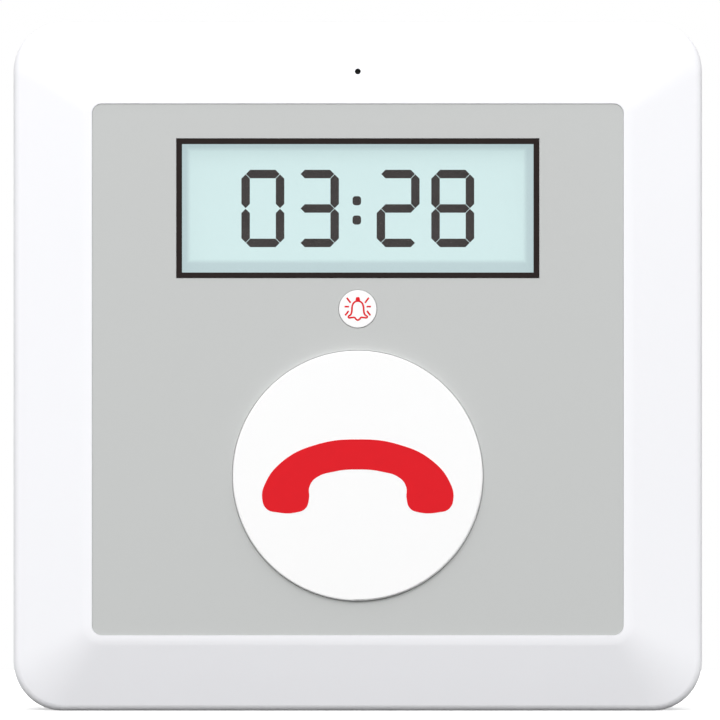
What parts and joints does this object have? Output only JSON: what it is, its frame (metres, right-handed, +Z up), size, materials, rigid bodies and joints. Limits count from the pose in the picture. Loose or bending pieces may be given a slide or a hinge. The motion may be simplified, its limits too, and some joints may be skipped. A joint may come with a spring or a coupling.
{
  "type": "medical alert base station",
  "caption": "Square white desk and wall alert unit with a clock display, a large round help key, a small alarm key and a fold-out rear stand.",
  "frame": {"origin": "centre of the footprint on the lower side, with the unit standing upright", "axes": "+X to the right seen from the front, +Y from the front face to the back, +Z up"},
  "size_m": [0.14, 0.0296, 0.14],
  "materials": {
    "white_casing": "fine satin moulded ABS, white",
    "grey_panel": "flat light grey sheet",
    "black_frame": "satin black",
    "clear_window": "clear polished sheet",
    "lcd": "pale blue-green liquid crystal glass",
    "black_plastic": "moulded black",
    "light_guide": "milky acrylic",
    "led_white": "white lamp",
    "contact_rubber": "striped silicone",
    "white_key": "smooth white",
    "natural_plastic": "natural nylon",
    "spring_steel": "drawn wire",
    "red_plastic": "moulded red",
    "black_rubber": "matt",
    "can_metal": "pressed can",
    "green_board": "green coated laminate",
    "chip_black": "moulded package",
    "capacitor_sleeve": "shrink sleeve",
    "brass": "plated",
    "foam": "closed cell foam",
    "black_metal": "pressed frame",
    "paper_cone": "treated film cone",
    "magnet_metal": "zinc plated",
    "battery_sleeve": "blue shrink film",
    "red_wire": "insulated wire",
    "black_wire": "insulated wire",
    "blue_wire": "insulated wire",
    "aerial_board": "flexible circuit",
    "screw_steel": "zinc plated"
  },
  "bodies": {
    "casing": {"alarm_switch_body": "black_plastic", "backlight_leds": "led_white", "battery_foam": "foam", "battery_pack": "battery_sleeve", "battery_plug": "natural_plastic", "battery_wire_black": "black_wire", "battery_wire_red": "red_wire", "board_screws": "screw_steel", "capacitors": "capacitor_sleeve", "cellular_aerial": "aerial_board", "cellular_aerial_lead": "black_wire", "cellular_module": "can_metal", "control_chip": "chip_black", "display_bezel": "black_frame", "display_window": "clear_window", "front_fascia": "grey_panel", "front_housing": "white_casing", "help_key_guide": "natural_plastic", "help_key_spring": "spring_steel", "help_switch_body": "black_plastic", "housing_screws": "screw_steel", "lcd_contact_strips": "contact_rubber", "lcd_glass": "lcd", "lcd_holder": "black_plastic", "lcd_light_guide": "light_guide", "main_board": "green_board", "microphone": "can_metal", "microphone_boot": "black_rubber", "pendant_receiver": "green_board", "power_inlet": "black_plastic", "power_inlet_pin": "brass", "power_switch_body": "can_metal", "rear_housing": "white_casing", "rear_pads": "black_rubber", "receiver_aerial": "blue_wire", "sim_card_holder": "can_metal", "speaker_cone": "paper_cone", "speaker_frame": "black_metal", "speaker_gasket": "foam", "speaker_magnet": "magnet_metal", "speaker_plug": "natural_plastic", "speaker_wire_black": "black_wire", "speaker_wire_red": "red_wire", "stand_hinge_pin": "screw_steel"},
    "help_key": {"help_key_cap": "white_key", "help_switch_stem": "red_plastic"},
    "alarm_key": {"alarm_key_cap": "white_key", "alarm_switch_stem": "red_plastic"},
    "power_knob": {"power_switch_knob": "black_plastic"},
    "stand": {"stand_leg": "white_casing", "stand_foot_pad": "black_rubber"}
  },
  "joints": [
    {"name": "help_key_press", "type": "slide", "parent": "casing", "child": "help_key", "axis": [0, 1, 0], "range_m": [0, 0.0012], "stiffness_N_per_m": 1200, "springref_m": -0.001, "deforming": ["help_key_spring"]},
    {"name": "alarm_key_press", "type": "slide", "parent": "casing", "child": "alarm_key", "axis": [0, 1, 0], "range_m": [0, 0.0005], "stiffness_N_per_m": 1500, "springref_m": -0.0005},
    {"name": "power_slide", "type": "slide", "parent": "casing", "child": "power_knob", "axis": [0, 0, 1], "range_m": [0, 0.003]},
    {"name": "stand_fold", "type": "hinge", "parent": "casing", "child": "stand", "pos_m": [0, 0.0123, 0.062], "axis": [1, 0, 0], "range_deg": [0, 42]}
  ]
}
